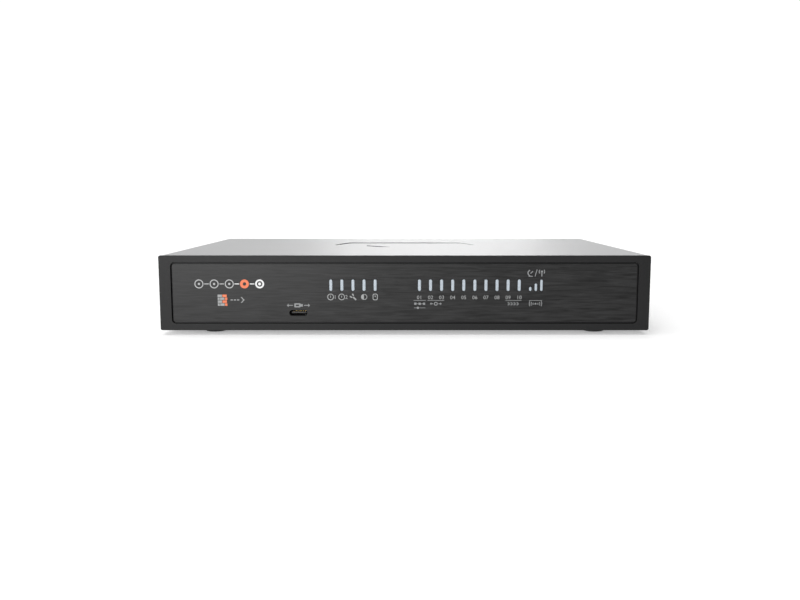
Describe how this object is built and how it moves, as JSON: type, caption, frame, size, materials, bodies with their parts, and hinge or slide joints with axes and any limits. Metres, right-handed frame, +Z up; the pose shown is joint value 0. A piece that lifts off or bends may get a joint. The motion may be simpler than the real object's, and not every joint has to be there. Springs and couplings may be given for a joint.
{
  "type": "desktop firewall appliance",
  "caption": "Low sheet-metal network appliance with a dark framed front, slim status lights and rows of network sockets behind.",
  "frame": {"origin": "middle of the footprint, on the plane that the feet stand on", "axes": "+X to the right seen from the front, along the width; the front faces -Y; +Z up, along the height"},
  "size_m": [0.225, 0.154, 0.0367],
  "materials": {
    "case_paint": "silver satin powder coat",
    "bezel_plastic": "charcoal, fine mould texture",
    "panel_brushed": "charcoal anodised, brushed along X",
    "light_pipe": "milky clear",
    "foot_rubber": "matt black",
    "board_laminate": "solder mask",
    "chip_epoxy": "moulded epoxy",
    "bare_aluminium": "extruded, plain",
    "plated_steel": "nickel plated",
    "jack_plastic": "black, moulded",
    "contact_gold": "gold plated",
    "thermal_pad": "soft silicone",
    "plug_rubber": "matt moulded"
  },
  "bodies": {
    "appliance": {"base_tray": "case_paint", "board_screw_front_left": "plated_steel", "board_screw_front_right": "plated_steel", "board_screw_rear_left": "plated_steel", "board_screw_rear_right": "plated_steel", "cell_holder": "jack_plastic", "coin_cell": "plated_steel", "console_insert": "jack_plastic", "console_shield": "plated_steel", "cover_screw_front_left": "plated_steel", "cover_screw_front_right": "plated_steel", "cover_screw_rear_left": "plated_steel", "cover_screw_rear_right": "plated_steel", "dc_pin_1": "contact_gold", "dc_pin_2": "contact_gold", "dc_socket_1": "jack_plastic", "dc_socket_2": "jack_plastic", "ethernet_a_insert": "jack_plastic", "ethernet_a_shield": "plated_steel", "ethernet_b_insert": "jack_plastic", "ethernet_b_shield": "plated_steel", "foot_front_left": "foot_rubber", "foot_front_right": "foot_rubber", "foot_rear_left": "foot_rubber", "foot_rear_right": "foot_rubber", "front_bezel": "bezel_plastic", "front_panel": "panel_brushed", "ground_screw": "plated_steel", "heatsink": "bare_aluminium", "heatsink_screw_1": "plated_steel", "heatsink_screw_2": "plated_steel", "main_board": "board_laminate", "memory_chip_1": "chip_epoxy", "memory_chip_2": "chip_epoxy", "port_light_pipe": "light_pipe", "power_capacitor_1": "bare_aluminium", "power_capacitor_2": "bare_aluminium", "power_capacitor_3": "bare_aluminium", "power_inductor_1": "chip_epoxy", "power_inductor_2": "chip_epoxy", "processor": "chip_epoxy", "reset_switch": "jack_plastic", "signal_light_pipe": "light_pipe", "status_light_pipe": "light_pipe", "storage_connector": "jack_plastic", "storage_cover": "case_paint", "storage_cover_screw": "plated_steel", "storage_module": "board_laminate", "storage_module_screw": "plated_steel", "switch_chip": "chip_epoxy", "thermal_pad": "thermal_pad", "top_cover": "case_paint", "transceiver_cage": "plated_steel", "transceiver_connector_1": "jack_plastic", "transceiver_connector_2": "jack_plastic", "usb_c_shell": "plated_steel", "usb_c_tongue": "jack_plastic"},
    "reset_button": {"reset_button": "plug_rubber"},
    "dust_plug_1": {"dust_plug_1": "plug_rubber"},
    "dust_plug_2": {"dust_plug_2": "plug_rubber"}
  },
  "joints": [
    {"name": "reset_press", "type": "slide", "parent": "appliance", "child": "reset_button", "axis": [0, -1, 0], "range_m": [0, 0.0005], "stiffness_N_per_m": 1500, "springref_m": -0.0003},
    {"name": "dust_plug_1_pull", "type": "slide", "parent": "appliance", "child": "dust_plug_1", "axis": [0, 1, 0], "range_m": [0, 0.018]},
    {"name": "dust_plug_2_pull", "type": "slide", "parent": "appliance", "child": "dust_plug_2", "axis": [0, 1, 0], "range_m": [0, 0.018]}
  ]
}
